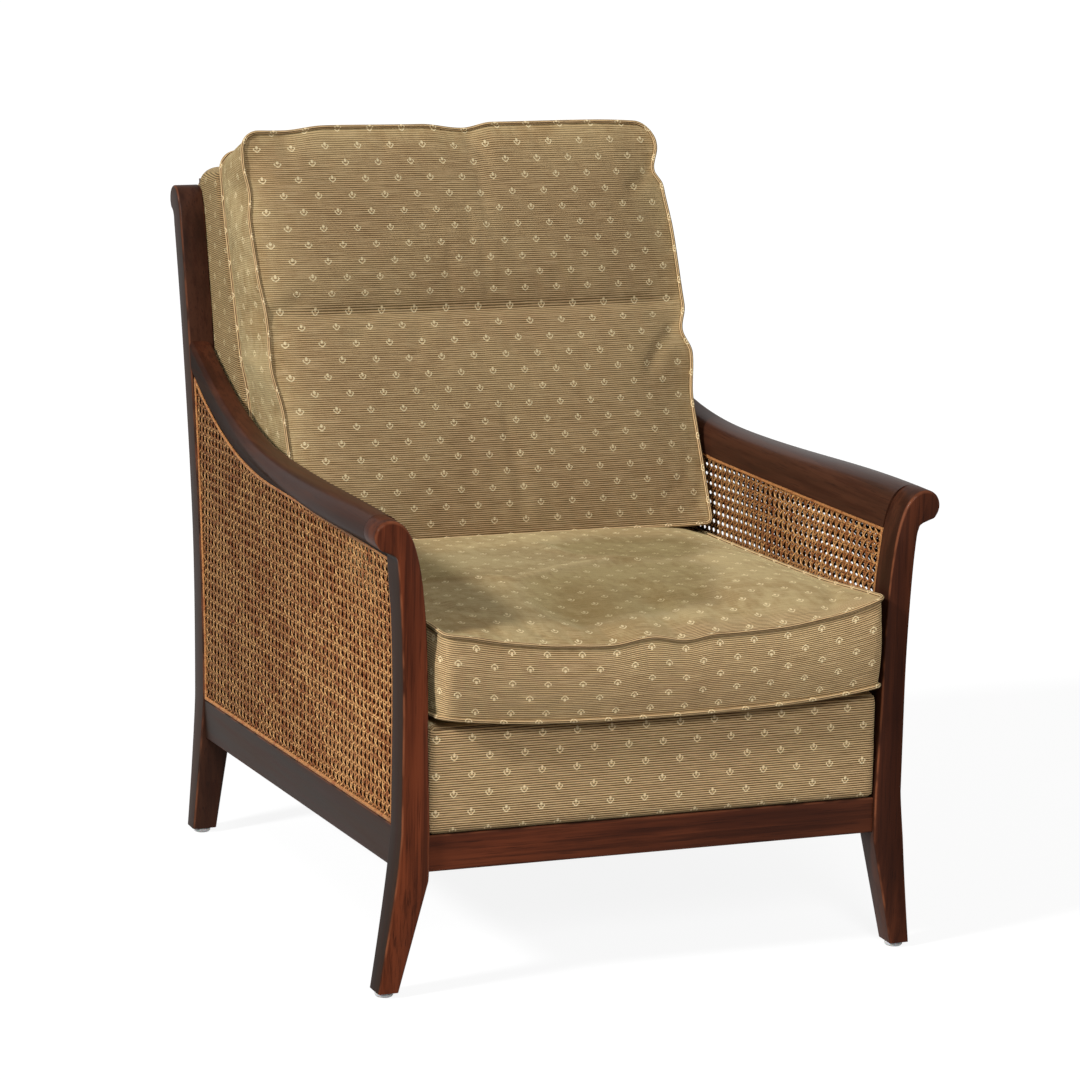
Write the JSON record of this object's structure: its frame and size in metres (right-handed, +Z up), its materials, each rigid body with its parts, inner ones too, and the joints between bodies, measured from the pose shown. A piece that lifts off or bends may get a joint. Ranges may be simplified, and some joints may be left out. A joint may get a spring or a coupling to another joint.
{
  "type": "bergere armchair",
  "caption": "Low bergere armchair with scrolled arms, splayed sabre legs, double caned sides, an upholstered back and front border, and loose piped seat and back cushions.",
  "frame": {"origin": "on the floor, under the middle of the chair's bounding box", "axes": "+X to the right of someone who faces the chair's front, +Y from front to back, +Z up"},
  "size_m": [0.7094, 0.9542, 0.9301],
  "materials": {
    "mahogany": "satin",
    "beech": "matte",
    "cane": "satin",
    "upholstery": "matte",
    "webbing": "matte",
    "filling": "matte",
    "lining": "matte",
    "glide": "satin"
  },
  "bodies": {
    "chair_frame": {"front_post_left": "mahogany", "front_post_right": "mahogany", "back_post_left": "mahogany", "back_post_right": "mahogany", "arm_rail_left": "mahogany", "arm_rail_right": "mahogany", "side_rail_left": "mahogany", "side_rail_right": "mahogany", "front_show_rail": "mahogany", "rear_show_rail": "mahogany", "cane_outer_left": "cane", "cane_outer_right": "cane", "cane_inner_left": "cane", "cane_inner_right": "cane", "cane_spline_outer_left": "cane", "cane_spline_outer_right": "cane", "cane_spline_inner_left": "cane", "cane_spline_inner_right": "cane", "glide_front_left": "glide", "glide_front_right": "glide", "glide_back_left": "glide", "glide_back_right": "glide", "seat_box_front": "beech", "seat_box_side_left": "beech", "seat_box_side_right": "beech", "seat_box_rear": "beech", "corner_block_front_right": "beech", "corner_block_front_left": "beech", "corner_block_back_right": "beech", "corner_block_back_left": "beech", "seat_strap_1": "webbing", "seat_strap_2": "webbing", "seat_strap_3": "webbing", "seat_strap_4": "webbing", "seat_strap_5": "webbing", "deck_pad": "filling", "dust_cover": "lining", "front_border_cover": "upholstery", "front_border_pad": "filling", "back_stile_left": "beech", "back_stile_right": "beech", "back_top_rail": "beech", "back_bottom_rail": "beech", "back_strap_1": "webbing", "back_strap_2": "webbing", "back_strap_3": "webbing", "back_cover": "upholstery", "back_pad": "filling", "back_outer_panel": "upholstery"},
    "seat_cushion": {"seat_cushion_cover": "upholstery", "seat_cushion_core": "filling", "seat_cushion_piping_top": "upholstery", "seat_cushion_piping_bottom": "upholstery", "seat_cushion_zip": "webbing"},
    "back_cushion": {"back_cushion_cover": "upholstery", "back_cushion_core": "filling", "back_cushion_piping_front": "upholstery", "back_cushion_piping_rear": "upholstery", "back_cushion_zip": "webbing"}
  },
  "joints": [
    {"name": "seat_cushion_out", "type": "slide", "parent": "chair_frame", "child": "seat_cushion", "axis": [0, -0.9994, 0.0356], "range_m": [0, 0.62]},
    {"name": "back_cushion_out", "type": "slide", "parent": "chair_frame", "child": "back_cushion", "axis": [0, 0.3911, 0.9203], "range_m": [0, 0.5]}
  ]
}
